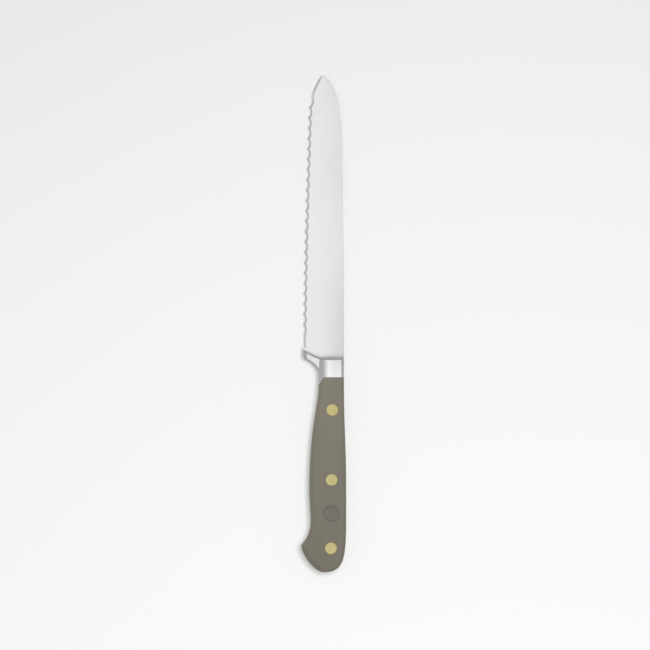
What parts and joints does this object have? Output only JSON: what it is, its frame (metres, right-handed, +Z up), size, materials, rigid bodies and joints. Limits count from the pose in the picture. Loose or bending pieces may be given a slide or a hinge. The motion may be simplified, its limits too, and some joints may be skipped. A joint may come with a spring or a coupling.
{
  "type": "serrated utility knife",
  "caption": "Serrated utility knife with a forged full-tang blade, bolster and finger guard, riveted scales and a plain round inlay.",
  "frame": {"origin": "middle of the bounding box of the knife lying on its lower scale, at the level of the surface it lies on", "axes": "+Z up, out of the upper scale; +Y along the knife towards the tip; +X towards the spine, so the edge faces -X"},
  "size_m": [0.023, 0.2546, 0.0145],
  "materials": {
    "forged_steel": "satin ground",
    "scale_plastic": "olive grey-brown, fine matt grain",
    "rivet_brass": "satin, ground flush with the scales",
    "inlay_plastic": "olive grey-brown, slightly darker than the scales"
  },
  "bodies": {
    "root": {"blade_forging": "forged_steel", "scale_upper": "scale_plastic", "scale_lower": "scale_plastic", "rivet_pin_butt": "rivet_brass", "rivet_socket_butt": "rivet_brass", "rivet_pin_middle": "rivet_brass", "rivet_socket_middle": "rivet_brass", "rivet_pin_front": "rivet_brass", "rivet_socket_front": "rivet_brass", "round_inlay": "inlay_plastic"}
  },
  "joints": []
}
